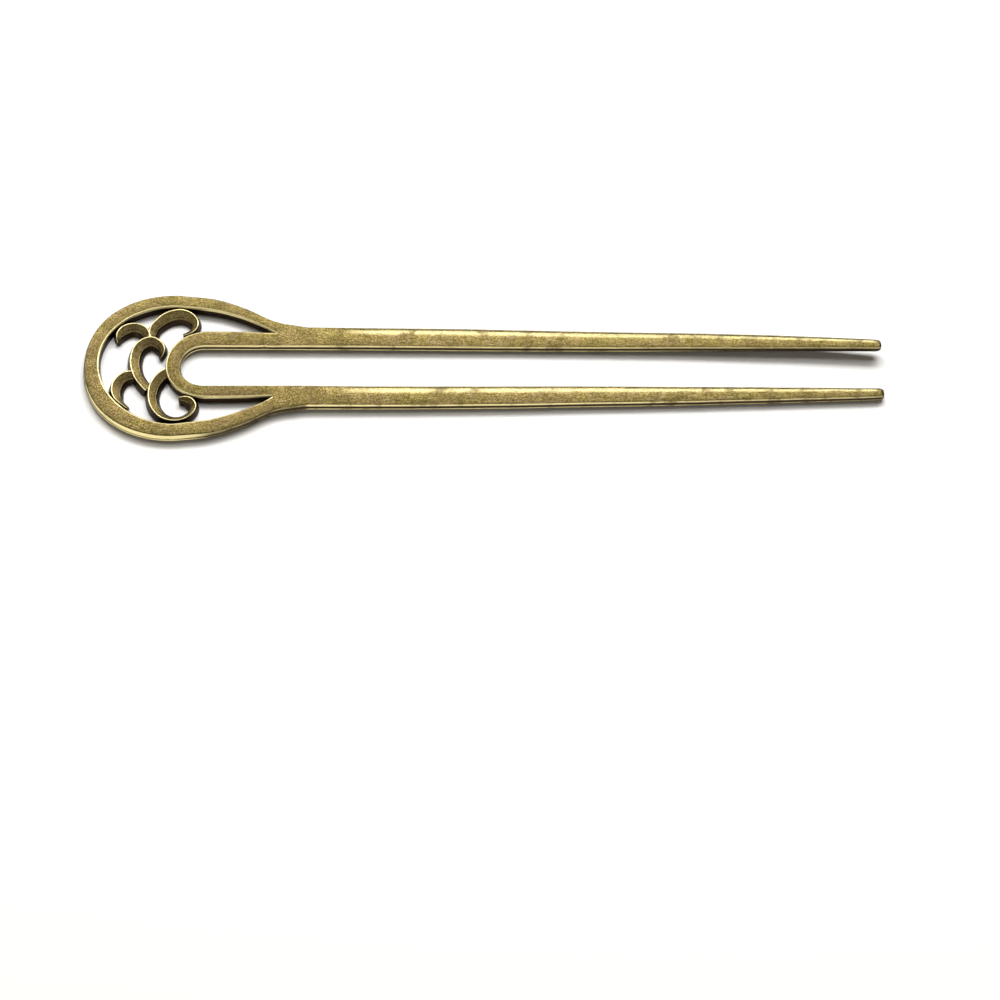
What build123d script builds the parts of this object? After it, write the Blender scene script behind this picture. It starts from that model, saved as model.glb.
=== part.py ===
from build123d import *
from math import cos, radians, sin
import os

# U-shaped hair pin, one casting with a pierced head and two prongs, lying flat.
# Millimetres. X runs from the nose of the head to the prong tips, Y is across, Z is up.
# The origin is under the middle of the pin, on the face that it rests on.

# Outer form. Widths are taken at the parting edge, half way up the side walls.
overall_length = 156.4
head_width = 33.0
head_length = 43.3
shoulder_length = 17.9
thickness = 2.0
slot_width = 8.8
slot_start = 18.9
prong_width = 4.8

# Prongs. The far prong bends up towards its tip, from the share lift_start of the way on.
# The tips lean in towards the slot by far_toe and near_toe. The width falls away faster
# towards the tips, by taper_power.
tip_width = 2.3
tip_thickness = 1.5
tip_length = 1.2
tip_lift = 1.6
lift_start = 0.3
far_toe = 0.4
near_toe = 0.1
taper_power = 2.3
prong_steps = 12

# Side walls and edges
wall_flare = 0.2
edge_bevel = 0.25

# Pierced window between the frame loop and the bow. Its two corners beside the prongs are
# blunt, and its nose sits a little to the far side of the centre line.
nose_band = 3.1
far_band = 2.47
near_band = 3.33
bow_band = 2.9
bow_curve = 8.5
far_arm = 3.4
near_arm = 2.45
window_length = 36.9
window_rise = 0.8
window_blunt = 0.4
corner_slope = 0.62

# Scrolls. The top face slopes down from a ridge on the outer side, and the walls flare out
# towards the base.
scroll_width = 2.0
scroll_height = 1.75
scroll_drop = 0.45
scroll_flare = 0.35
scroll_lift = 0.03
scroll_steps = 2

# How full the rounded ends are: 2 is an ellipse, more is squarer.
head_fullness = 2.25
window_fullness = 2.15
bow_fullness = 2.1

# How far past the neck the slot is cut, into the open space between the prongs
slot_margin = 1.0

# The edge from a shoulder to the neck, and the window's edge from a shoulder to its corner,
# as shares of the way and of the drop
neck_shape = [
    # along, drop
    (0.29, 0.125),
    (0.53, 0.425),
    (0.76, 0.830),
]
window_shape = [
    # along, drop
    (0.37, 0.145),
    (0.64, 0.400),
    (0.86, 0.725),
]

# The rounding of a prong tip, from where it starts to the very end
tip_shape = [
    # along, size
    (0, 1),
    (0.45, 0.93),
    (0.8, 0.76),
    (1, 0.5),
]

# Scroll centre lines. Along runs from the window's nose (0) to the bow's nose (1),
# across is a share of the window's half width on that side of the centre line,
# width is a share of scroll_width and height a share of scroll_height.
left_crest_rows = [
    # along, across, width, height
    (0.718, 0.435, 0.70, 0.93),
    (0.645, 0.570, 0.93, 1.00),
    (0.547, 0.633, 1.00, 1.00),
    (0.440, 0.633, 1.02, 1.00),
    (0.352, 0.587, 1.00, 1.00),
    (0.295, 0.512, 0.78, 1.00),
    (0.287, 0.444, 0.47, 0.90),
    (0.295, 0.376, 0.20, 0.70),
]
top_crest_rows = [
    # along, across, width, height
    (0.772, 0.435, 0.70, 0.93),
    (0.800, 0.615, 0.95, 1.00),
    (0.888, 0.726, 1.02, 1.00),
    (1.006, 0.811, 1.15, 1.00),
    (1.167, 0.854, 1.18, 1.00),
    (1.297, 0.825, 1.05, 1.00),
    (1.385, 0.743, 0.85, 1.00),
    (1.400, 0.654, 0.60, 1.00),
    (1.350, 0.583, 0.40, 0.90),
    (1.245, 0.505, 0.25, 0.70),
]
middle_crest_rows = [
    # along, across, width, height
    (1.040, 0.035, 0.40, 0.80),
    (0.950, 0.160, 0.40, 0.85),
    (0.918, 0.284, 0.75, 1.00),
    (0.857, 0.366, 0.82, 1.00),
    (0.761, 0.412, 1.00, 1.00),
    (0.654, 0.366, 1.02, 1.00),
    (0.574, 0.266, 0.93, 1.00),
    (0.543, 0.120, 0.80, 1.00),
    (0.555, -0.017, 0.75, 1.00),
    (0.604, -0.153, 0.72, 1.00),
    (0.692, -0.290, 0.68, 1.00),
    (0.770, -0.390, 0.62, 0.97),
]
low_crest_rows = [
    # along, across, width, height
    (0.555, -0.160, 0.90, 0.95),
    (0.460, -0.165, 0.95, 1.00),
    (0.367, -0.218, 0.95, 1.00),
    (0.302, -0.320, 0.95, 1.00),
    (0.287, -0.431, 0.88, 1.00),
    (0.310, -0.529, 0.68, 1.00),
    (0.363, -0.609, 0.40, 0.90),
    (0.471, -0.705, 0.23, 0.60),
]
lower_curl_rows = [
    # along, across, width, height
    (1.060, -0.093, 1.00, 1.00),
    (0.953, -0.169, 0.95, 1.00),
    (0.880, -0.275, 0.90, 1.00),
    (0.838, -0.400, 0.85, 1.00),
    (0.830, -0.552, 0.75, 1.00),
    (0.876, -0.704, 0.72, 1.00),
    (0.983, -0.841, 0.65, 1.00),
    (1.129, -0.905, 0.47, 1.00),
    (1.278, -0.894, 0.42, 1.00),
    (1.393, -0.806, 0.50, 1.00),
    (1.431, -0.696, 0.68, 1.00),
    (1.389, -0.609, 0.75, 1.00),
    (1.320, -0.571, 0.57, 1.00),
    (1.251, -0.563, 0.30, 0.90),
]

# Places worked out from the sizes
nose_x = -overall_length / 2
shoulder_x = nose_x + shoulder_length
neck_x = nose_x + head_length
tip_x = overall_length / 2
slot_half = slot_width / 2
prong_edge = slot_half + prong_width
slot_end_x = neck_x + slot_margin
window_nose_x = nose_x + nose_band
bow_nose_x = nose_x + slot_start - bow_band
window_end_x = nose_x + window_length
far_window = head_width / 2 - far_band
near_window = head_width / 2 - near_band
far_arm_edge = slot_half + far_arm
near_arm_edge = slot_half + near_arm


# The side walls stand out at half height. Each level is a height and how far the wall
# stands back there from the parting edge.
def wall_levels(full_height):
    return [
        (0, wall_flare),
        (full_height / 2, 0),
        (full_height - edge_bevel, wall_flare),
        (full_height, wall_flare + edge_bevel),
    ]


# A rounded end from a nose, where the edge runs across, to a shoulder, where it runs along.
def rounded_end(nose, shoulder, fullness):
    points = []
    for turn in range(0, 91, 18):
        back = cos(radians(turn)) ** (2 / fullness)
        out = sin(radians(turn)) ** (2 / fullness)
        x = shoulder[0] - (shoulder[0] - nose[0]) * back
        y = nose[1] + (shoulder[1] - nose[1]) * out
        points.append((x, y))
    return points


# The edge from a shoulder to where it meets the prong or the bow.
def falling_edge(shoulder, end, shape):
    points = [shoulder]
    for along, drop in shape:
        x = shoulder[0] + (end[0] - shoulder[0]) * along
        y = shoulder[1] + (end[1] - shoulder[1]) * drop
        points.append((x, y))
    return points + [end]


# One half of the outer edge, for side 1 (far) or -1 (near), standing back by inset.
def outer_edge(side, inset):
    nose = (nose_x + inset, 0)
    shoulder = (shoulder_x, side * (head_width / 2 - inset))
    neck = (neck_x, side * (prong_edge - inset))
    Spline(rounded_end(nose, shoulder, head_fullness), tangents=[(0, side), (1, 0)])
    Spline(falling_edge(shoulder, neck, neck_shape), tangents=[(1, 0), (1, 0)])
    return neck


# One half of the window's edge: the frame loop's inside, the blunt corner, the bow's outside.
def window_edge(side, half_width, arm_edge):
    nose = (window_nose_x, window_rise)
    shoulder = (shoulder_x, side * half_width)
    corner = (window_end_x, side * (arm_edge + window_blunt))
    arm_end = (window_end_x, side * arm_edge)
    arm_start = (bow_nose_x + bow_curve, side * arm_edge)
    bow_nose = (bow_nose_x, 0)
    Spline(rounded_end(nose, shoulder, window_fullness), tangents=[(0, side), (1, 0)])
    Spline(falling_edge(shoulder, corner, window_shape), tangents=[(1, 0), (1, -corner_slope * side)])
    Line(corner, arm_end)
    Line(arm_end, arm_start)
    Spline(rounded_end(bow_nose, arm_start, bow_fullness), tangents=[(0, side), (1, 0)])


# Sections across a scroll, square to its centre line. The ridge runs along the outer side,
# which is on the left of the line for ridge 1 and on the right for -1. Order lifts each
# scroll's base a little, so that no two bases share a plane.
def scroll_sections(rows, ridge, order):
    line = Spline([scroll_point(row) for row in rows])
    params = [line.param_at_point(Vector(*scroll_point(row))) for row in rows]
    base = scroll_lift * order
    sections = []
    for step in range((len(rows) - 1) * scroll_steps + 1):
        index = min(step // scroll_steps, len(rows) - 2)
        share = step / scroll_steps - index
        at = params[index] + (params[index + 1] - params[index]) * share
        width, height = [
            rows[index][column] + (rows[index + 1][column] - rows[index][column]) * share
            for column in (2, 3)
        ]
        half = scroll_width * width / 2
        high = scroll_height * height
        low = high - scroll_drop * height
        left_top, right_top = (high, low) if ridge > 0 else (low, high)
        across = Plane(line @ at, x_dir=Vector(0, 0, 1).cross(line % at), z_dir=line % at)
        with BuildSketch(across) as section:
            with BuildLine():
                Polyline(
                    (-half - scroll_flare, base),
                    (-half, right_top),
                    (half, left_top),
                    (half + scroll_flare, base),
                    close=True,
                )
            make_face()
        sections.append(section.sketch)
    return sections


def scroll_point(row):
    half_width = far_window if row[1] > 0 else near_window
    return (window_nose_x + (bow_nose_x - window_nose_x) * row[0], half_width * row[1])


# A section across a prong on side 1 (far) or -1 (near), at full size or a share of it.
# Lift bends the end up and toe leans the tip in towards the slot.
def prong_section(x, side, size, lift, toe):
    along = (x - neck_x) / (tip_x - neck_x)
    width = prong_width - (prong_width - tip_width) * along**taper_power
    height = thickness - (thickness - tip_thickness) * along
    narrow = width * (1 - size) / 2
    rise = height * (1 - size) / 2
    base = lift * max(0, (along - lift_start) / (1 - lift_start)) ** 2
    inner = [(slot_half + inset + narrow, level) for level, inset in wall_levels(height)]
    outer = [(slot_half + width - inset - narrow, level) for level, inset in wall_levels(height)]
    lean = toe * along
    points = [(side * (y - lean), base + rise + z * size) for y, z in inner + outer[::-1]]
    with BuildSketch(Plane((x, 0, 0), x_dir=(0, 1, 0), z_dir=(1, 0, 0))) as section:
        with BuildLine():
            Polyline(*points, close=True)
        make_face()
    return section.sketch


def prong_sections(side, lift, toe):
    reach = tip_x - tip_length - neck_x
    shares = [step / prong_steps for step in range(prong_steps + 1)]
    return [prong_section(neck_x + reach * share, side, 1, lift, toe) for share in shares]


def tip_sections(side, lift, toe):
    start = tip_x - tip_length
    return [
        prong_section(start + tip_length * share, side, size, lift, toe)
        for share, size in tip_shape
    ]


with BuildPart() as head:
    for level, inset in wall_levels(thickness):
        with BuildSketch(Plane.XY.offset(level)):
            with BuildLine():
                far_neck = outer_edge(1, inset)
                near_neck = outer_edge(-1, inset)
                Line(far_neck, near_neck)
            make_face()
    loft(ruled=True)

    # The slot, open towards the tips
    for level, inset in wall_levels(thickness):
        half = slot_half + inset
        bend = (nose_x + slot_start + slot_half, 0)
        with BuildSketch(Plane.XY.offset(level)):
            with BuildLine():
                CenterArc(bend, half, 90, 180)
                Line((bend[0], half), (slot_end_x, half))
                Line((bend[0], -half), (slot_end_x, -half))
                Line((slot_end_x, half), (slot_end_x, -half))
            make_face()
    loft(ruled=True, mode=Mode.SUBTRACT)

    # The window, pierced right through
    with BuildSketch(Plane.XY):
        with BuildLine():
            window_edge(1, far_window, far_arm_edge)
            window_edge(-1, near_window, near_arm_edge)
        make_face()
    extrude(amount=thickness, mode=Mode.SUBTRACT)

with BuildPart() as left_crest:
    loft(scroll_sections(left_crest_rows, -1, 1), ruled=True)

with BuildPart() as top_crest:
    loft(scroll_sections(top_crest_rows, 1, 2), ruled=True)

with BuildPart() as middle_crest:
    loft(scroll_sections(middle_crest_rows, -1, 3), ruled=True)

with BuildPart() as low_crest:
    loft(scroll_sections(low_crest_rows, -1, 4), ruled=True)

with BuildPart() as lower_curl:
    loft(scroll_sections(lower_curl_rows, -1, 5), ruled=True)

with BuildPart() as far_prong:
    loft(prong_sections(1, tip_lift, far_toe), ruled=True)
    loft(tip_sections(1, tip_lift, far_toe), ruled=True)

with BuildPart() as near_prong:
    loft(prong_sections(-1, 0, near_toe), ruled=True)
    loft(tip_sections(-1, 0, near_toe), ruled=True)

with BuildPart() as hair_pin:
    add(head.part)
    for piece in (left_crest, top_crest, middle_crest, low_crest, lower_curl):
        add(piece.part)
    add(far_prong.part)
    add(near_prong.part)

hair_pin.part.label = "hair_pin"

os.makedirs("parts", exist_ok=True)
export_step(hair_pin.part, "parts/hair_pin.step")
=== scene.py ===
import math

import bmesh
import bpy
from mathutils import Matrix, Vector, noise


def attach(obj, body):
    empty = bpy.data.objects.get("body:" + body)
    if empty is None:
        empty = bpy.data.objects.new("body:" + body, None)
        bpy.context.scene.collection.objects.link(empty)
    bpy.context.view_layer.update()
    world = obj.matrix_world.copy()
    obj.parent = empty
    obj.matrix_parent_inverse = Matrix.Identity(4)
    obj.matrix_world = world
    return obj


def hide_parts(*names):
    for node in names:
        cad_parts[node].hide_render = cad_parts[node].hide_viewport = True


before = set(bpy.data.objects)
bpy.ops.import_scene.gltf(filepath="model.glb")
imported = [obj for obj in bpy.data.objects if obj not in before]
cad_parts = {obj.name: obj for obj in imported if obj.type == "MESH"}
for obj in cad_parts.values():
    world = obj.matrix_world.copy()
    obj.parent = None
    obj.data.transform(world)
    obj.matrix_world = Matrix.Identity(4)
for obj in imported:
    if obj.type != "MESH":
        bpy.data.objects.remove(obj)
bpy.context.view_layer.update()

mm = 0.001
print("frame loaded")


# Small helpers
def mix(a, b, share):
    return a + (b - a) * share


def smoothRow(rows, at):
    # the table's columns at a fractional row number, on a smooth curve through every row
    last = len(rows) - 1
    low = min(int(at), last - 1)
    t = at - low
    before = rows[low - 1] if low > 0 else [2 * a - b for a, b in zip(rows[0], rows[1])]
    after = rows[low + 2] if low + 2 <= last else [2 * a - b for a, b in zip(rows[last], rows[last - 1])]
    out = []
    for a, b, c, d in zip(before, rows[low], rows[low + 1], after):
        once, square, cube = c - a, 2 * a - 5 * b + 4 * c - d, 3 * b - a - 3 * c + d
        out.append(0.5 * (2 * b + once * t + square * t ** 2 + cube * t ** 3))
    return out


def alongTable(rows, x):
    # straight runs between (x, value) rows
    for (x0, value0), (x1, value1) in zip(rows, rows[1:]):
        if x <= x1:
            return mix(value0, value1, max(0, (x - x0) / (x1 - x0)))
    return rows[-1][1]


def roundedEnd(nose, shoulder, fullness, turn):
    # quarter of a superellipse: turn 0 at the nose, 1 at the shoulder
    angle = math.radians(90 * turn)
    back = abs(math.cos(angle)) ** (2 / fullness)
    out = abs(math.sin(angle)) ** (2 / fullness)
    x = shoulder[0] - (shoulder[0] - nose[0]) * back
    return Vector((x, nose[1] + (shoulder[1] - nose[1]) * out))


def fallingEdge(shoulder, end, shape, share):
    # from the shoulder down to the neck; shape rows are (along, drop)
    along, drop = smoothRow([(0, 0)] + shape + [(1, 1)], share * (len(shape) + 1))
    return Vector((mix(shoulder[0], end[0], along), mix(shoulder[1], end[1], drop)))


# Main sizes of the pin, in mm; far is the +Y side and near the -Y side
pin = {
    "noseX": -78.2,
    "shoulderX": -60.3,
    "neckX": -34.9,
    "tipX": 78.53,
    "headHalf": 16.5,
    "slotHalf": 4.4,
    "prongWidth": 4.8,
    "thickness": 2.0,
    "farTipThickness": 1.68,
    "nearTipThickness": 1.75,
    "tipLift": 1.66,  # how far the far tip is bent up
    "liftStart": 0.0,
    "liftPower": 1.8,
    "windowNose": (-75.3, 0.8),
    "farWindow": 13.70,
    "nearWindow": 13.30,
    "farFullness": 2.18,
    "nearFullness": 2.12,
    "farWindowFullness": 2.05,
    "nearWindowFullness": 1.93,
    # from the shoulder to the neck: along, drop
    "neckShape": [(0.29, 0.125), (0.53, 0.425), (0.76, 0.830)],
    "farWindowShape": [(0.37, 0.145), (0.64, 0.400), (0.86, 0.725)],
    "nearWindowShape": [(0.37, 0.165), (0.64, 0.435), (0.86, 0.735)],
    "crown": 0.03,  # rise of the tops towards their middle
    "farDrop": 0.21,  # fall of the prongs' tops towards the far edge
    "farDropStart": 0.10,  # share of the prong's length in which the fall begins
    # x, then: the painted highlight on the tops, set as brass on their far part, the share of tipEdge in
    # the far prong's walls, the brass on the edges that face the near side, rubbing with a painted
    # highlight
    "prongHighlight": [(-34.9, 0.0), (-22.0, 0.44), (20.0, 0.44), (45.0, 0.40), (78.2, 0.48)],
    "undercut": [(30.0, 0.0), (70.0, 1.0)],
    "nearFacingBrass": [(-34.9, 1.0), (-28.0, 0.8), (-18.0, 0.68), (20.0, 0.62), (50.0, 0.50), (78.4, 0.50)],
}

# What the loop, the bow and the prongs share
band = {
    "fullWidth": 3.2,  # a narrower band gets its edge shapes smaller
    "topInset": 0.46,
    "highlightEnd": 0.52,  # the painted highlight strip ends here, as a share from the far edge
    "highlightFade": 0.24,
    "patina": 0.4,  # dark left on an edge that isn't rubbed
    "farEdgeBrass": 0.15,  # brass on the edges that face the far side; those facing the near side get more, rubbing with a painted highlight
}

# Edge shapes from the underside up: out is mm past the edge line, up a share of the height,
# the third column how far the patina is rubbed off, and the fourth how dark the wall is: painted shade on
# the walls, together with dark patina.
partedEdge = [
    # out, up, wear, painted shade and patina
    (-0.34, 0.00, 0.0, 0.7),
    (-0.20, 0.06, 0.0, 0.9),
    (-0.06, 0.32, 0.0, 1.0),
    (0.00, 0.33, 0.5, 0.3),
    (0.07, 0.37, 1.0, 0.0),
    (0.03, 0.46, 1.0, 0.0),
    (-0.04, 0.51, 0.0, 1.0),
    (-0.10, 0.74, 0.0, 1.0),
    (-0.12, 0.79, 0.3, 0.5),
    (-0.14, 0.83, 1.0, 0.0),
    (-0.24, 0.965, 1.0, 0.0),
    (-0.30, 0.988, 0.7, 0.0),
    (-0.37, 0.998, 0.1, 0.0),
    (-0.50, 1.00, 0.0, 0.0),
]
tipEdge = [
    # out, up, wear, painted shade and patina
    (-0.42, 0.00, 0.0, 1.0),
    (-0.30, 0.06, 0.0, 1.0),
    (-0.16, 0.16, 0.0, 1.0),
    (-0.10, 0.28, 0.0, 1.0),
    (-0.07, 0.38, 0.2, 1.0),
    (-0.06, 0.46, 0.2, 1.0),
    (-0.07, 0.51, 0.0, 1.0),
    (-0.10, 0.72, 0.0, 1.0),
    (-0.12, 0.78, 0.3, 0.5),
    (-0.14, 0.82, 0.9, 0.0),
    (-0.24, 0.965, 0.9, 0.0),
    (-0.30, 0.988, 0.6, 0.0),
    (-0.37, 0.998, 0.1, 0.0),
    (-0.50, 1.00, 0.0, 0.0),
]
rimEdge = [
    # out, up, wear, painted shade and patina
    (-0.34, 0.00, 0.0, 0.7),
    (-0.20, 0.06, 0.0, 0.9),
    (-0.07, 0.24, 0.0, 1.0),
    (-0.02, 0.30, 0.4, 0.3),
    (0.05, 0.35, 1.0, 0.0),
    (-0.02, 0.48, 1.0, 0.0),
    (-0.05, 0.53, 0.3, 0.5),
    (-0.06, 0.58, 0.3, 0.5),
    (-0.08, 0.62, 0.9, 0.0),
    (-0.19, 0.79, 1.0, 0.0),
    (-0.29, 0.925, 1.0, 0.0),
    (-0.345, 0.965, 0.9, 0.0),
    (-0.40, 0.99, 0.3, 0.0),
    (-0.56, 1.00, 0.0, 0.0),
]
windowEdge = [
    # out, up, wear, painted shade and patina
    (0.20, 0.00, 0.0, 0.8),
    (0.32, 0.06, 0.0, 1.0),
    (0.20, 0.34, 0.0, 1.0),
    (0.12, 0.56, 0.0, 1.0),
    (0.08, 0.70, 0.0, 1.0),
    (0.06, 0.80, 0.0, 1.0),
    (0.05, 0.88, 0.2, 0.6),
    (0.04, 0.92, 0.9, 0.0),
    (0.01, 0.96, 1.0, 0.0),
    (-0.05, 0.982, 1.0, 0.0),
    (-0.20, 0.991, 1.0, 0.0),
    (-0.28, 0.998, 0.9, 0.0),
    (-0.32, 1.00, 0.1, 0.0),
    (-0.46, 1.00, 0.0, 0.0),
]
windowWall = [
    # out, up, wear, painted shade and patina
    (0.20, 0.00, 0.0, 0.8),
    (0.32, 0.06, 0.0, 1.0),
    (0.20, 0.34, 0.0, 1.0),
    (0.13, 0.56, 0.0, 1.0),
    (0.12, 0.66, 0.0, 1.0),
    (0.11, 0.73, 0.0, 1.0),
    (0.11, 0.76, 0.3, 0.5),
    (0.10, 0.78, 1.0, 0.0),
    (0.00, 0.92, 1.0, 0.0),
    (-0.03, 0.955, 1.0, 0.0),
    (-0.07, 0.98, 1.0, 0.0),
    (-0.29, 0.994, 1.0, 0.0),
    (-0.34, 1.00, 0.2, 0.0),
    (-0.46, 1.00, 0.0, 0.0),
]
crownRows = [
    # across, rise
    (0.08, 0.38),
    (0.22, 0.72),
    (0.36, 0.92),
    (0.50, 1.00),
    (0.64, 0.92),
    (0.78, 0.72),
    (0.92, 0.38),
]
# how the prongs' tops fall to the far side: 0 at the far edge, 1 where the top is level
farSlope = [0.32, 0.66, 0.88, 0.97, 1.00, 1.00, 1.00]


def bandRing(station):
    # one ring of (place, wear with painted highlights, painted shade with patina) around a band, from the
    # outer underside over the top to the inner underside
    outer, inner = station["outer"], station["inner"]
    width = (inner - outer).length
    across = (inner - outer) / width
    narrow = min(1, width / band["fullWidth"])
    height = station["height"]
    ring = []
    for edge, line, sign, edgeBrass in (
        (station["outerEdge"], outer, -1, station.get("outerBrass", 1)),
        (None, None, 0, 0),
        (station["innerEdge"], inner, 1, station.get("innerBrass", 1)),
    ):
        onFarSide = (outer.y > 0) == (sign < 0)
        if edge is None:
            slope = farSlope if outer.y > 0 else farSlope[::-1]
            inset = band["topInset"] * narrow
            for (share, rise), level in zip(crownRows, slope):
                spot = outer + across * (inset + (width - 2 * inset) * share)
                fromFar = share if outer.y > 0 else 1 - share
                # painted highlight: brass on the far part of the prong tops, where the back light
                # reflects
                highlightStrip = min(1, max(0, (band["highlightEnd"] - fromFar) / band["highlightFade"]))
                wearAndHighlight = station.get("paintedHighlight", 0) * highlightStrip
                up = height + station["crown"] * rise - station.get("farDrop", 0) * (1 - level)
                ring.append((spot, up, wearAndHighlight, station.get("shadeAndPatina", 0)))
            continue
        edgeHeight = height - station.get("farDrop", 0) * onFarSide
        rows = edge if sign < 0 else edge[::-1]
        for out, up, wearAndHighlight, shadeAndPatina in rows:
            patina = band["patina"] * wearAndHighlight * (1 - edgeBrass)
            spot = line + across * sign * out * narrow
            ring.append((spot, edgeHeight * up, wearAndHighlight * edgeBrass, max(shadeAndPatina, patina)))
    middle, half = (outer + inner) / 2, height / 2
    base, size = station["base"], station["size"]
    return [
        (Vector((*(middle + (spot - middle) * size), base + half + (up - half) * size)), wearAndHighlight, shadeAndPatina)
        for spot, up, wearAndHighlight, shadeAndPatina in ring
    ]


def sweep(bm, rings):
    # extrudes the first ring from place to place; every vertex keeps its row in the ring
    rowLayer = bm.verts.layers.int["row"]
    wearAndHighlightLayer = bm.verts.layers.float["wearAndHighlight"]
    shadeAndPatinaLayer = bm.verts.layers.float["shadeAndPatina"]
    grainLayer = bm.verts.layers.float_vector["grain"]
    verts = []
    for number, row in enumerate(rings[0]):
        vert = bm.verts.new(row[0] * mm)
        vert[rowLayer] = number
        verts.append(vert)
    cap = bm.faces.new(verts)
    along = 0
    for step, ring in enumerate(rings):
        if step:
            grown = bmesh.ops.extrude_face_region(bm, geom=[cap])["geom"]
            if step > 1:  # the first cap stays and closes the end
                bmesh.ops.delete(bm, geom=[cap], context="FACES_ONLY")
            cap = [item for item in grown if isinstance(item, bmesh.types.BMFace)][0]
            centre = sum((row[0] for row in ring), Vector()) / len(ring)
            centreBefore = sum((row[0] for row in rings[step - 1]), Vector()) / len(ring)
            along += (centre - centreBefore).length
        across = [0]
        for a, b in zip(ring, ring[1:]):
            across.append(across[-1] + (b[0] - a[0]).length)
        for vert in cap.verts:
            place, wearAndHighlight, shadeAndPatina = ring[vert[rowLayer]]
            vert.co = place * mm
            vert[wearAndHighlightLayer] = wearAndHighlight
            vert[shadeAndPatinaLayer] = shadeAndPatina
            vert[grainLayer] = Vector((along, across[vert[rowLayer]], 0))


def blendEdges(first, second, share):
    return [tuple(mix(a, b, share) for a, b in zip(p, q)) for p, q in zip(first, second)]


# Frame loop: teardrop band of the head that runs on as the two prongs
loop = {
    "roundSteps": 44,
    "fallSteps": 40,
    "prongStep": 1.1,
    "seamShare": 0.80,  # where on the falling edge the window ends
    "seamRun": 0.10,
    "rimBrassRise": 1.6,  # brass of the outer rim rising from the nose towards the near side: rubbing with a painted reflection
    "rimBrassEnd": 0.35,
    "rimBrassFall": 4,
    "windowBrass": 0.66,
    "windowBrassRise": 2,
    "windowBrassNear": 0.25,  # less brass where the window's edge faces the far side: less painted highlight
    "nearWindowBrass": 0.45,
    "shortestStep": 0.4,
    "tipRounding": [(0.0, 1.0), (0.35, 0.98), (0.65, 0.90), (0.85, 0.76), (0.96, 0.56), (1.0, 0.36)],
    "tipLength": 1.3,
    "seam": {
        # where the bow joins the loop: points from the window's corner to the slot
        "far": [(-41.0, 7.65), (-39.9, 7.15), (-40.9, 6.5), (-42.6, 5.5), (-43.9, 4.4)],
        "near": [(-41.3, -7.2), (-41.2, -6.5), (-41.7, -5.8), (-41.8, -5.1), (-41.8, -4.4)],
    },
}

# The prongs' four edge lines, in mm from the middle of the slot
prongLines = [
    # x, far outer, far inner, near inner, near outer
    (-34.9, 9.20, 4.40, 4.35, 9.25),
    (-30.0, 9.20, 4.40, 4.33, 9.23),
    (-16.2, 9.16, 4.38, 4.29, 9.17),
    (-4.4, 9.07, 4.33, 4.25, 9.02),
    (7.4, 8.82, 4.29, 4.18, 8.83),
    (19.3, 8.52, 4.24, 4.13, 8.52),
    (31.1, 8.24, 4.19, 4.14, 8.28),
    (43.0, 7.93, 4.14, 4.17, 7.95),
    (50.8, 7.63, 4.02, 4.17, 7.69),
    (58.7, 7.26, 3.96, 4.22, 7.43),
    (66.6, 6.77, 3.86, 4.28, 7.15),
    (72.5, 6.33, 3.75, 4.38, 6.93),
    (78.6, 5.84, 3.62, 4.43, 6.65),
]


def prongStation(x, side, size=1.0):
    # side 1 is the far prong, -1 the near one; size shrinks the section at the tip
    along = (x - pin["neckX"]) / (pin["tipX"] - pin["neckX"])
    lifted = max(0, (x - pin["liftStart"]) / (pin["tipX"] - pin["liftStart"]))
    lift = pin["tipLift"] * lifted ** pin["liftPower"] if side > 0 else 0
    row = max(number for number, line in enumerate(prongLines[:-1]) if line[0] <= x + 0.001)
    share = (x - prongLines[row][0]) / (prongLines[row + 1][0] - prongLines[row][0])
    line = smoothRow(prongLines, row + share)
    outerLine, innerLine = (line[1], line[2]) if side > 0 else (line[4], line[3])
    nearFacingBrass = alongTable(pin["nearFacingBrass"], x)
    undercut = alongTable(pin["undercut"], x) if side > 0 else 0
    tipThickness = pin["farTipThickness" if side > 0 else "nearTipThickness"]
    dropStart = min(1, along / pin["farDropStart"])
    return {
        "outer": Vector((x, side * outerLine)),
        "inner": Vector((x, side * innerLine)),
        "height": mix(pin["thickness"], tipThickness, along),
        "base": lift,
        "size": size,
        "crown": pin["crown"],
        "farDrop": pin["farDrop"] * dropStart * (outerLine - innerLine) / pin["prongWidth"],
        "paintedHighlight": alongTable(pin["prongHighlight"], x),
        "outerEdge": blendEdges(partedEdge, tipEdge, undercut),
        "innerEdge": blendEdges(partedEdge, tipEdge, undercut),
        "outerBrass": band["farEdgeBrass"] if side > 0 else nearFacingBrass,
        "innerBrass": nearFacingBrass if side > 0 else band["farEdgeBrass"],
    }


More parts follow.
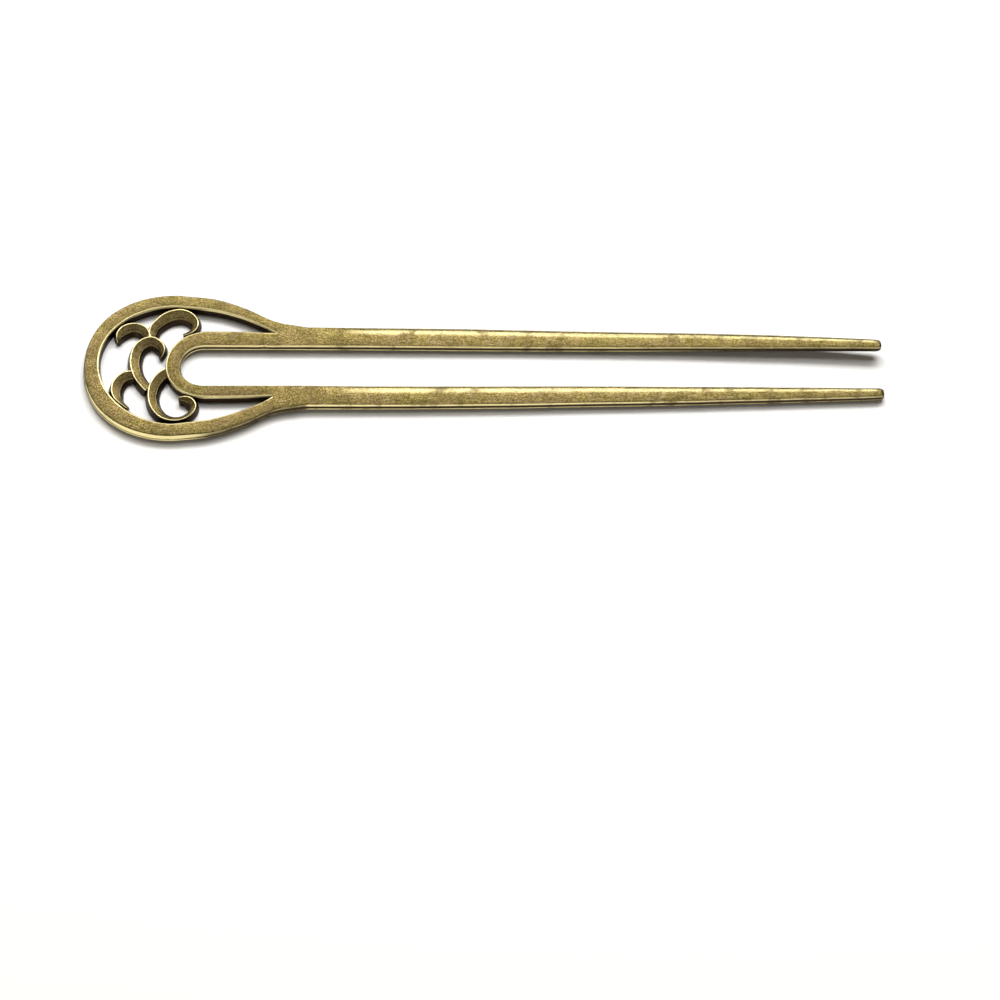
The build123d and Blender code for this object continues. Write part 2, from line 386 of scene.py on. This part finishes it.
def loopStations(side):
    # sections of one half, from the nose of the head round to the prong's tip
    name = "far" if side > 0 else "near"
    shoulder = (pin["shoulderX"], side * pin["headHalf"])
    windowShoulder = (pin["shoulderX"], side * pin[name + "Window"])
    neckStation = prongStation(pin["neckX"], side)
    neck = neckStation["outer"]
    common = {"height": pin["thickness"], "base": 0, "size": 1, "crown": pin["crown"]}
    stations = []
    for step in range(loop["roundSteps"]):
        turn = step / loop["roundSteps"]
        sideways = side * math.sin(math.radians(90 * turn))  # -1 where the rim faces the front
        near, far = max(0, -sideways), max(0, sideways)
        stations.append({
            "outer": roundedEnd((pin["noseX"], 0), shoulder, pin[name + "Fullness"], turn),
            "inner": roundedEnd(pin["windowNose"], windowShoulder, pin[name + "WindowFullness"], turn),
            "outerEdge": blendEdges(partedEdge, rimEdge, near),
            "outerBrass": mix(band["farEdgeBrass"], 1, min(1, near * loop["rimBrassRise"])),
            "innerEdge": blendEdges(windowEdge, windowWall, far),
            "innerBrass": mix(loop["windowBrass"], 1, min(1, far * loop["windowBrassRise"]))
            - loop["windowBrassNear"] * near,
            **common,
        })
    seam = loop["seam"][name]
    seamStart, seamEnd = loop["seamShare"], loop["seamShare"] + loop["seamRun"]
    slotStart = Vector(seam[-1])
    faceEdge = windowWall if side > 0 else windowEdge
    for step in range(loop["fallSteps"] + 1):
        share = step / loop["fallSteps"]
        outer = fallingEdge(shoulder, neck, pin["neckShape"], share)
        if share < seamStart:
            inner = fallingEdge(windowShoulder, seam[0], pin[name + "WindowShape"], share / seamStart)
            edge = faceEdge
            innerBrass = 1 if side > 0 else loop["nearWindowBrass"]
        elif share < seamEnd:
            run = (share - seamStart) / loop["seamRun"]
            inner = Vector(smoothRow(seam, run * (len(seam) - 1)))
            edge = blendEdges(faceEdge, partedEdge, run)
            innerBrass = 1
        else:
            run = (share - seamStart - loop["seamRun"]) / (1 - loop["seamRun"] - seamStart)
            inner = slotStart.lerp(neckStation["inner"], min(1, run))
            edge = partedEdge
            innerBrass = 1 if side > 0 else band["farEdgeBrass"]
        rim = blendEdges(rimEdge, partedEdge, share) if side < 0 else partedEdge
        rimBrass = mix(1, loop["rimBrassEnd"], min(1, share * loop["rimBrassFall"]))
        stations.append({"outer": outer, "inner": inner, "innerEdge": edge, "outerEdge": rim,
                         "outerBrass": band["farEdgeBrass"] if side > 0 else rimBrass,
                         "innerBrass": innerBrass, **common})
    x = pin["neckX"] + loop["prongStep"]
    tipStart = pin["tipX"] - loop["tipLength"]
    while x < tipStart - loop["shortestStep"]:
        stations.append(prongStation(x, side))
        x += loop["prongStep"]
    for along, size in loop["tipRounding"]:
        stations.append(prongStation(tipStart + loop["tipLength"] * along, side, size))
    return stations


def newShape():
    bm = bmesh.new()
    bm.verts.layers.int.new("row")
    bm.verts.layers.float.new("wearAndHighlight")
    bm.verts.layers.float.new("shadeAndPatina")
    bm.verts.layers.float_vector.new("grain")
    return bm


bm = newShape()
loopPath = loopStations(1)[::-1] + loopStations(-1)[1:]
sweep(bm, [bandRing(station) for station in loopPath])
print("frame loop and prongs:", len(loopPath), "rings")

# Bow: the U inside the head, a little lower than the loop
bow = {
    "noseX": -62.2,
    "bendX": -54.9,
    "armStartX": -53.7,
    "farArm": [7.95, 7.92, 7.85, 7.70, 7.60],
    "nearArm": [7.25, 7.20, 7.10, 6.95, 6.80],
    "fullness": 2.1,
    "endX": -39.0,
    "height": 1.93,
    "base": 0.02,  # keeps the bow's underside out of the loop's plane
    # darkens the bow's top a little
    "shadeAndPatina": 0.12,
    # brass on the bow's edges: rubbing, with a painted highlight where they face the near side
    "farOuterBrass": 0.40,
    "noseOuterBrass": 0.7,
    "noseInnerBrass": 0.5,
    "roundSteps": 26,
    "armSteps": 20,
    "tuck": 0.10,  # how far the ends stay inside the loop's metal
    "tuckStart": 0.3,  # from the seam's end to where the tuck begins
    "tuckRun": 0.8,
}


def bowStations(side):
    # sections of one half, from the bow's nose to where the arm runs into the loop
    name = "far" if side > 0 else "near"
    arm = [(y,) for y in bow[name + "Arm"]]  # half widths from where the arm starts to its end
    stations = []
    common = {"height": bow["height"], "base": bow["base"], "size": 1,
              "crown": pin["crown"], "shadeAndPatina": bow["shadeAndPatina"],
              "outerEdge": windowEdge if side > 0 else windowWall, "innerEdge": partedEdge,
              "outerBrass": bow["farOuterBrass"] if side > 0 else 1,
              "innerBrass": 1 if side > 0 else band["farEdgeBrass"]}
    for step in range(bow["roundSteps"]):
        turn = step / bow["roundSteps"]
        angle = math.radians(90 * turn)
        swing = math.sin(angle)
        slotX = bow["bendX"] - pin["slotHalf"] * math.cos(angle)
        slot = Vector((slotX, side * pin["slotHalf"] * swing))
        armStart = (bow["armStartX"], side * arm[0][0])
        outer = roundedEnd((bow["noseX"], 0), armStart, bow["fullness"], turn)
        stations.append({"outer": outer, "inner": slot, **common,
                         "outerEdge": blendEdges(windowEdge, common["outerEdge"], swing),
                         "outerBrass": mix(bow["noseOuterBrass"], common["outerBrass"], swing),
                         "innerBrass": mix(bow["noseInnerBrass"], common["innerBrass"], min(1, 2 * swing))})
    seamX = min(x for x, y in loop["seam"][name]) + bow["tuckStart"]
    for step in range(bow["armSteps"] + 1):
        share = step / bow["armSteps"]
        outerX = mix(bow["armStartX"], bow["endX"], share)
        x = mix(bow["bendX"], bow["endX"], share)
        tuck = bow["tuck"] * min(1, max(0, (x - seamX) / bow["tuckRun"]))
        stations.append({
            "outer": Vector((outerX, side * smoothRow(arm, share * (len(arm) - 1))[0])),
            "inner": Vector((x, side * (pin["slotHalf"] + tuck))), **common,
        })
    return stations


bowPath = bowStations(1)[::-1] + bowStations(-1)[1:]
sweep(bm, [bandRing(station) for station in bowPath])
print("bow:", len(bowPath), "rings")

# Scrolls: wave curls with a ridge along the outer side
scrolls = {
    "ringStep": 0.32,
    "slope": 0.42,  # how far the top falls from the ridge to the inner side
    "fullWidth": 1.5,  # a narrower curl gets its ridge smaller
    "lookAhead": 0.05,  # in rows of the table, to find the curl's direction
    "slowest": 0.3,  # in mm per row, so that close rows don't lengthen a step
    "base": 0.03,
    "baseStep": 0.012,  # keeps the undersides of two curls out of one plane
    # 1 where the ridge runs on the left of the centre line, -1 on the right
    "ridges": {"leftCrest": -1, "topCrest": 1, "middleCrest": -1, "lowCrest": -1, "lowerCurl": -1},
    "leftCrest": [
        # x, y, width, height
        (-65.84, 6.10, 1.40, 1.63),
        (-66.78, 8.00, 1.86, 1.75),
        (-68.04, 8.88, 2.00, 1.75),
        (-69.42, 8.88, 2.06, 1.75),
        (-70.60, 8.28, 2.06, 1.75),
        (-71.42, 7.30, 1.62, 1.75),
        (-71.66, 6.50, 1.00, 1.66),
        (-71.72, 5.70, 0.42, 1.30),
    ],
    "topCrest": [
        (-65.14, 6.10, 1.40, 1.63),
        (-64.78, 8.63, 1.90, 1.75),
        (-63.64, 10.22, 2.10, 1.75),
        (-62.12, 11.44, 2.36, 1.75),
        (-60.02, 12.04, 2.42, 1.75),
        (-58.28, 11.62, 2.16, 1.75),
        (-57.08, 10.42, 1.74, 1.75),
        (-56.88, 9.16, 1.22, 1.75),
        (-57.60, 8.12, 0.80, 1.62),
        (-59.15, 7.50, 0.50, 1.30),
    ],
    "middleCrest": [
        (-63.38, 2.20, 0.50, 1.40),
        (-63.16, 2.95, 0.90, 1.62),
        (-63.22, 3.98, 1.50, 1.75),
        (-64.02, 5.13, 1.84, 1.75),
        (-65.28, 5.78, 2.10, 1.75),
        (-66.70, 5.15, 2.20, 1.75),
        (-67.76, 3.73, 2.18, 1.75),
        (-68.18, 1.68, 2.08, 1.75),
        (-68.05, -0.24, 2.00, 1.75),
        (-67.45, -2.10, 1.90, 1.75),
        (-66.30, -3.90, 1.80, 1.75),
        (-65.24, -5.20, 1.66, 1.70),
    ],
    "lowCrest": [
        (-67.94, -2.11, 1.80, 1.66),
        (-69.17, -2.12, 2.00, 1.75),
        (-70.45, -2.82, 2.14, 1.75),
        (-71.34, -4.21, 2.20, 1.75),
        (-71.54, -5.70, 2.06, 1.75),
        (-71.20, -7.05, 1.60, 1.75),
        (-70.50, -8.10, 0.96, 1.60),
        (-69.10, -9.22, 0.50, 1.00),
    ],
    "lowerCurl": [
        (-61.43, -1.22, 2.00, 1.75),
        (-62.81, -2.23, 2.06, 1.75),
        (-63.75, -3.62, 2.10, 1.75),
        (-64.33, -5.27, 2.06, 1.75),
        (-64.42, -7.27, 1.86, 1.75),
        (-63.85, -9.25, 1.74, 1.75),
        (-62.45, -11.04, 1.50, 1.75),
        (-60.54, -11.90, 1.10, 1.75),
        (-58.61, -11.75, 0.96, 1.75),
        (-57.08, -10.62, 1.08, 1.75),
        (-56.60, -9.17, 1.40, 1.75),
        (-57.18, -8.02, 1.54, 1.75),
        (-58.15, -7.50, 1.20, 1.75),
        (-59.42, -7.52, 0.66, 1.60),
    ],
}
scrollProfile = [
    # across (0 ridge side, 1 inner side), out, below the ridge as a share of the slope, up, wear, and
    # darkness: painted shade on the walls with patina, and a top that darkens towards its inner side
    (0.0, -0.52, None, 0.00, 0.0, 0.8),
    (0.0, -0.62, None, 0.06, 0.0, 1.0),
    (0.0, -0.36, None, 0.50, 0.0, 1.0),
    (0.0, -0.12, None, 0.86, 0.0, 1.0),
    (0.0, -0.04, 0.20, 1.00, 0.1, 0.7),
    (0.0, 0.00, 0.08, 1.00, 1.0, 0.0),
    (0.0, 0.08, 0.00, 1.00, 1.0, 0.0),
    (0.0, 0.20, 0.02, 1.00, 1.0, 0.0),
    (0.0, 0.27, 0.16, 1.00, 0.1, 0.2),
    (0.0, 0.36, 0.24, 1.00, 0.0, 0.30),
    (0.40, 0.0, 0.42, 1.00, 0.0, 0.32),
    (0.70, 0.0, 0.66, 1.00, 0.0, 0.42),
    (1.0, -0.42, 0.78, 1.00, 0.0, 0.6),
    (1.0, -0.34, 0.80, 1.00, 0.36, 0.1),
    (1.0, -0.26, 0.90, 1.00, 0.36, 0.1),
    (1.0, -0.20, 1.06, 1.00, 0.0, 0.8),
    (1.0, -0.02, 1.45, 1.00, 0.0, 1.0),
    (1.0, 0.16, None, 0.40, 0.0, 1.0),
    (1.0, 0.38, None, 0.06, 0.0, 1.0),
    (1.0, 0.28, None, 0.00, 0.0, 0.8),
]


def scrollRings(rows, ridge, base):
    spots = []
    at, last, nudge = 0.0, len(rows) - 1, scrolls["lookAhead"]
    while at < last:
        spots.append(at)
        here, ahead = smoothRow(rows, at), smoothRow(rows, min(last, at + nudge))
        speed = math.hypot(ahead[0] - here[0], ahead[1] - here[1]) / nudge
        at += scrolls["ringStep"] / max(speed, scrolls["slowest"])
    spots.append(last)
    rings = []
    for at in spots:
        x, y, width, height = smoothRow(rows, at)
        back, ahead = smoothRow(rows, max(0, at - nudge)), smoothRow(rows, min(last, at + nudge))
        run = Vector((ahead[0] - back[0], ahead[1] - back[1])).normalized()
        left = Vector((-run.y, run.x)) * ridge
        narrow = min(1, width / scrolls["fullWidth"])
        ring = []
        for across, out, below, up, wearAndHighlight, shadeAndPatina in scrollProfile:
            offset = width * (0.5 - across) - out * narrow
            level = height * up if below is None else height - scrolls["slope"] * narrow * below
            spot = Vector((x, y)) + left * offset
            ring.append((Vector((spot.x, spot.y, base + level)), wearAndHighlight, shadeAndPatina))
        rings.append(ring)
    return rings


for number, (name, ridge) in enumerate(scrolls["ridges"].items()):
    rings = scrollRings(scrolls[name], ridge, scrolls["base"] + scrolls["baseStep"] * number)
    sweep(bm, rings)
    print("scroll", name, len(rings), "rings")

bmesh.ops.recalc_face_normals(bm, faces=bm.faces)
openEdges = sum(1 for edge in bm.edges if len(edge.link_faces) != 2)
print("open edges:", openEdges)


# Unevenness of the casting
casting = {
    "waveSize": 5.0,
    "wave": 0.018,
    "rippleSize": 1.8,
    "ripple": 0.008,
    "rippleShift": (7, 3, 5),
    "levelBelow": 0.08,  # the underside stays level
}


def roughenCasting(bm):
    bm.normal_update()
    for vert in bm.verts:
        place = vert.co / mm
        if place.z < casting["levelBelow"]:
            continue
        push = noise.noise(place / casting["waveSize"]) * casting["wave"]
        ripplePlace = place / casting["rippleSize"] + Vector(casting["rippleShift"])
        push += noise.noise(ripplePlace) * casting["ripple"]
        vert.co += vert.normal * push * mm


roughenCasting(bm)
for face in bm.faces:
    face.smooth = True
mesh = bpy.data.meshes.new("hairPin")
bm.to_mesh(mesh)
bm.free()
hairPin = bpy.data.objects.new("hairPin", mesh)
bpy.context.scene.collection.objects.link(hairPin)
subdivide = hairPin.modifiers.new("soften", "SUBSURF")
subdivide.levels = 1
subdivide.render_levels = 1


# Antique bronze
def addNode(tree, kind, settings=None, **inputs):
    # an input is named as its socket, or input and its number; a socket as value is linked
    node = tree.nodes.new("ShaderNode" + kind)
    for key, value in (settings or {}).items():
        setattr(node, key, value)
    for key, value in inputs.items():
        socket = node.inputs[int(key[5:])] if key.startswith("input") else node.inputs[key]
        if isinstance(value, bpy.types.NodeSocket):
            tree.links.new(value, socket)
        else:
            socket.default_value = value
    return node


def mathNode(tree, operation, a, b=0.0, clamp=False):
    settings = {"operation": operation, "use_clamp": clamp}
    return addNode(tree, "Math", settings, input0=a, input1=b).outputs[0]


def mixColour(tree, factor, a, b, blend="MIX"):
    settings = {"data_type": "RGBA", "blend_type": blend}
    return addNode(tree, "Mix", settings, input0=factor, input6=a, input7=b).outputs[2]


def ramp(tree, value, low, high, toLow=0.0, toHigh=1.0):
    settings = {"interpolation_type": "SMOOTHSTEP"}
    node = addNode(tree, "MapRange", settings, input0=value, input1=low, input2=high,
                   input3=toLow, input4=toHigh)
    return node.outputs[0]


def weighted(tree, parts):
    # the sum of every value times its weight
    total = None
    for value, weight in parts:
        part = mathNode(tree, "MULTIPLY", value, weight)
        total = part if total is None else mathNode(tree, "ADD", total, part)
    return total


def noiseNode(tree, place, pattern, depth=None):
    # a depth takes the noise from another slice, so that two patterns don't line up
    scale, detail, roughness = pattern
    settings = None if depth is None else {"noise_dimensions": "4D"}
    node = addNode(tree, "TexNoise", settings, Vector=place, Scale=scale, Detail=detail,
                   Roughness=roughness)
    if depth is not None:
        node.inputs["W"].default_value = depth
    return node.outputs[0]


bronze = {
    "olive": (0.150, 0.121, 0.0350, 1),
    "oliveDark": (0.088, 0.071, 0.0205, 1),
    "brown": (0.160, 0.110, 0.0530, 1),
    # brass of rubbed edges, also used for the painted highlights
    "brass": (0.88, 0.77, 0.40, 1),
    # dark of the painted shade on walls and in corners, and of dark patina
    "darkShadeAndPatina": (0.036, 0.022, 0.014, 1),
    # noise patterns: scale, detail, roughness
    "blotches": (330.0, 5.0, 0.66),
    "patches": (95.0, 4.0, 0.6),
    "mottle": (2900.0, 3.0, 0.7),
    "tint": (1300.0, 3.0, 0.6),
    "tintDepth": 3.7,
    "hammered": (700.0, 2.0, 0.5),
    "streaks": (2.2, 5.0, 0.7),
    "streakStretch": (0.14, 1.0, 1.0),
    "scratches": (9.0, 3.0, 0.6),
    "scratchStretch": (0.035, 1.0, 1.0),
    "waves": (300.0, 1.0, 0.5),
    # ramps: from low, to high, result at low, result at high
    "darkToOlive": (0.38, 0.60),
    "oliveToBrown": (0.42, 0.62, 0.12, 0.66),
    "fine": (0.36, 0.64, 0.54, 1.46),
    "fineBlue": (0.36, 0.64, 0.12, 1.88),
    # corner and wall darkening: painted shade, together with dark patina
    "cornerPatinaAndShade": (0.35, 0.95, 1.0, 0.0),
    "wallShadeAndPatina": (0.2, 0.7, 0.8, 0.0),
    "brassBreaks": (0.30, 0.50, 0.60, 1.0),
    "brassEdge": (0.15, 0.75),
    "scratchLines": (0.60, 0.72),
    "scratchFacing": (0.5, 0.9),
    "gloss": (0.35, 0.65, 0.28, 0.21),
    "waveRelief": (-0.042, -0.028, 0.15, 0.17),  # by x: weaker on the head than on the prongs
    # shares
    "shadeAndPatinaAmount": 0.96,
    "cornerAmount": 0.85,
    "wearAndHighlightAmount": 0.95,
    "scratchAmount": 0.22,
    "brassRoughness": 0.05,
    "darkRoughness": 0.2,
    "cornerReach": 0.0009,  # metres
    "bumpStrength": 0.8,
    "bumpDepth": 0.00016,
}


def makeBronze():
    material = bpy.data.materials.new("antiqueBronze")
    material.use_nodes = True
    tree = material.node_tree
    tree.nodes.clear()
    place = addNode(tree, "TexCoord").outputs["Object"]
    grain = addNode(tree, "Attribute", {"attribute_name": "grain"}).outputs["Vector"]
    # per-vertex attributes: rubbing with painted highlights, and painted shade on the walls with patina
    wearAndHighlight = addNode(tree, "Attribute", {"attribute_name": "wearAndHighlight"}).outputs["Fac"]
    shadeAndPatina = addNode(tree, "Attribute", {"attribute_name": "shadeAndPatina"}).outputs["Fac"]
    streakPlace = addNode(tree, "Mapping", None, Vector=grain, Scale=bronze["streakStretch"]).outputs[0]
    scratchPlace = addNode(tree, "Mapping", None, Vector=grain, Scale=bronze["scratchStretch"]).outputs[0]
    normal = addNode(tree, "NewGeometry").outputs["Normal"]
    facingUp = addNode(tree, "SeparateXYZ", None, Vector=normal).outputs[2]
    lengthwise = addNode(tree, "SeparateXYZ", None, Vector=place).outputs[0]

    blotches = noiseNode(tree, place, bronze["blotches"])
    patches = noiseNode(tree, place, bronze["patches"])
    mottle = noiseNode(tree, place, bronze["mottle"])
    tint = noiseNode(tree, place, bronze["tint"], bronze["tintDepth"])
    hammered = noiseNode(tree, place, bronze["hammered"])
    waves = noiseNode(tree, place, bronze["waves"])
    streaks = noiseNode(tree, streakPlace, bronze["streaks"])
    scratches = noiseNode(tree, scratchPlace, bronze["scratches"])

    # olive ground with darker blotches, brown patches and a fine mottle
    tone = weighted(tree, [(blotches, 0.6), (streaks, 0.4)])
    oliveness = ramp(tree, tone, *bronze["darkToOlive"])
    ground = mixColour(tree, oliveness, bronze["oliveDark"], bronze["olive"])
    brownness = weighted(tree, [(patches, 0.45), (tint, 0.55)])
    ground = mixColour(tree, ramp(tree, brownness, *bronze["oliveToBrown"]), ground, bronze["brown"])
    fine = ramp(tree, mottle, *bronze["fine"])
    fineBlue = ramp(tree, mottle, *bronze["fineBlue"])
    fineTint = addNode(tree, "CombineColor", None, Red=fine, Green=fine, Blue=fineBlue).outputs[0]
    ground = mixColour(tree, 1.0, ground, fineTint, "MULTIPLY")

    # painted shade on the walls and in the corners, together with dark patina
    # darker in the corners: patina in the hollows and painted shade
    settings = {"samples": 8, "only_local": True}
    corner = addNode(tree, "AmbientOcclusion", settings, Distance=bronze["cornerReach"]).outputs["AO"]
    cornerPatinaAndShade = ramp(tree, corner, *bronze["cornerPatinaAndShade"])
    cornerPatinaAndShade = mathNode(tree, "MULTIPLY", cornerPatinaAndShade, bronze["cornerAmount"])
    darkShadeAndPatina = mathNode(tree, "MULTIPLY", shadeAndPatina, bronze["shadeAndPatinaAmount"])
    darkShadeAndPatina = mathNode(tree, "MAXIMUM", darkShadeAndPatina, cornerPatinaAndShade)
    darkShadeAndPatina = mathNode(tree, "MAXIMUM", darkShadeAndPatina, ramp(tree, facingUp, *bronze["wallShadeAndPatina"]))
    colour = mixColour(tree, darkShadeAndPatina, ground, bronze["darkShadeAndPatina"])

    # rubbed edges and painted highlights (the far part of the prong tops, the edges that face the near
    # side), broken up by the blotches, and thin scratches on the faces
    brassMask = mathNode(tree, "MULTIPLY", wearAndHighlight, ramp(tree, blotches, *bronze["brassBreaks"]))
    brassMask = mathNode(tree, "MULTIPLY", ramp(tree, brassMask, *bronze["brassEdge"]), bronze["wearAndHighlightAmount"])
    lines = ramp(tree, scratches, *bronze["scratchLines"])
    lines = mathNode(tree, "MULTIPLY", lines, bronze["scratchAmount"])
    lines = mathNode(tree, "MULTIPLY", lines, ramp(tree, facingUp, *bronze["scratchFacing"]))
    brassMask = mathNode(tree, "MAXIMUM", brassMask, lines, True)
    colour = mixColour(tree, brassMask, colour, bronze["brass"])

    roughness = ramp(tree, blotches, *bronze["gloss"])
    roughness = mathNode(tree, "ADD", roughness, mathNode(tree, "MULTIPLY", brassMask, bronze["brassRoughness"]))
    darkRoughness = mathNode(tree, "MULTIPLY", darkShadeAndPatina, bronze["darkRoughness"])
    roughness = mathNode(tree, "ADD", roughness, darkRoughness, True)

    relief = weighted(tree, [
        (blotches, 0.12),
        (mottle, 0.06),
        (waves, ramp(tree, lengthwise, *bronze["waveRelief"])),
        (hammered, 0.15),
        (scratches, 0.15),
        (streaks, 0.25),
    ])
    bump = addNode(tree, "Bump", None, Strength=bronze["bumpStrength"], Distance=bronze["bumpDepth"],
                   Height=relief)

    shader = addNode(tree, "BsdfPrincipled", None, Metallic=1.0, Roughness=roughness,
                     Normal=bump.outputs[0])
    tree.links.new(colour, shader.inputs["Base Color"])
    output = addNode(tree, "OutputMaterial")
    tree.links.new(shader.outputs[0], output.inputs["Surface"])
    return material


hairPin.data.materials.append(makeBronze())
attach(hairPin, "root")
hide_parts("hair_pin")
print("antique bronze on the pin")

# Floor
paleFloor = {
    "halfSize": 2.5,  # metres
    "colour": (0.92, 0.92, 0.92, 1),
    "roughness": 0.8,
    "specular": 0.2,
}
floorMesh = bpy.data.meshes.new("floor")
bm = bmesh.new()
bmesh.ops.create_grid(bm, x_segments=1, y_segments=1, size=paleFloor["halfSize"])
bm.to_mesh(floorMesh)
bm.free()
floor = bpy.data.objects.new("floor", floorMesh)
bpy.context.scene.collection.objects.link(floor)
floorPaint = bpy.data.materials.new("paleFloor")
floorPaint.use_nodes = True
floorShader = floorPaint.node_tree.nodes["Principled BSDF"]
floorShader.inputs["Base Color"].default_value = paleFloor["colour"]
floorShader.inputs["Roughness"].default_value = paleFloor["roughness"]
floorShader.inputs["Specular IOR Level"].default_value = paleFloor["specular"]
floorMesh.materials.append(floorPaint)
print("floor laid")

# Light
studio = {
    "worldColour": (1.0, 0.88, 0.68, 1),
    "worldStrength": 0.07,
}
softboxes = {
    # place and size in metres, power in watts; mirrored: seen in the metal, onFloor: lights the floor
    "backSoftbox": {"place": (0.055, 0.676, 0.735), "size": (1.2, 0.30), "power": 15.6,
                    "colour": (1.0, 0.99, 0.97), "mirrored": False, "onFloor": True},
    "upperSoftbox": {"place": (0.025, 0.399, 0.917), "size": (1.4, 0.40), "power": 4.1,
                     "colour": (1.0, 0.99, 0.97), "mirrored": False, "onFloor": True},
    "frontSoftbox": {"place": (-0.40, -1.12, 0.26), "size": (3.0, 0.42), "power": 7.2,
                     "colour": (1.0, 0.95, 0.84), "mirrored": True, "onFloor": True},
    "backReflector": {"place": (0.053, 0.649, 0.706), "size": (1.2, 0.30), "power": 5.9,
                      "colour": (1.0, 0.99, 0.97), "mirrored": True, "onFloor": False},
    "upperReflector": {"place": (0.024, 0.383, 0.880), "size": (1.4, 0.40), "power": 1.75,
                       "colour": (1.0, 0.99, 0.97), "mirrored": True, "onFloor": False},
    "topReflector": {"place": (0.0, -0.50, 0.87), "size": (2.4, 1.3), "power": 5.4,
                     "colour": (1.0, 0.97, 0.90), "mirrored": True, "onFloor": False},
}
for name, values in softboxes.items():
    lamp = bpy.data.lights.new(name, "AREA")
    lamp.shape = "RECTANGLE"
    lamp.size, lamp.size_y = values["size"]
    lamp.energy = values["power"]
    lamp.color = values["colour"]
    lampObject = bpy.data.objects.new(name, lamp)
    lampObject.location = values["place"]
    lampObject.visible_glossy = values["mirrored"]
    lampObject.visible_diffuse = values["onFloor"]
    lampObject.rotation_euler = (-Vector(values["place"])).to_track_quat("-Z", "Y").to_euler()
    bpy.context.scene.collection.objects.link(lampObject)
world = bpy.data.worlds.new("studioWorld")
world.use_nodes = True
world.node_tree.nodes["Background"].inputs["Color"].default_value = studio["worldColour"]
world.node_tree.nodes["Background"].inputs["Strength"].default_value = studio["worldStrength"]
bpy.context.scene.world = world
bpy.context.scene.view_settings.view_transform = "Standard"

# Camera
view = {
    "place": (-14.42, -302.75, 482.6),  # mm
    "azimuth": 3.603,
    "elevation": 60.39,
    "roll": -3.235,
    "lens": 104.26,  # mm; the angles are in degrees
    "clipStart": 0.01,
}
azimuth, elevation = math.radians(view["azimuth"]), math.radians(view["elevation"])
roll = math.radians(view["roll"])
level = math.cos(elevation)
forward = Vector((math.sin(azimuth) * level, math.cos(azimuth) * level, -math.sin(elevation)))
right = Vector((math.cos(azimuth), -math.sin(azimuth), 0))
down = forward.cross(right)
turnedRight = right * math.cos(roll) + down * math.sin(roll)
turnedDown = down * math.cos(roll) - right * math.sin(roll)
camera = bpy.data.objects.new("camera", bpy.data.cameras.new("camera"))
bpy.context.scene.collection.objects.link(camera)
camera.matrix_world = Matrix((
    (turnedRight.x, -turnedDown.x, -forward.x, view["place"][0] * mm),
    (turnedRight.y, -turnedDown.y, -forward.y, view["place"][1] * mm),
    (turnedRight.z, -turnedDown.z, -forward.z, view["place"][2] * mm),
    (0, 0, 0, 1),
))
camera.data.lens = view["lens"]
camera.data.clip_start = view["clipStart"]
bpy.context.scene.camera = camera
print("camera and light set")
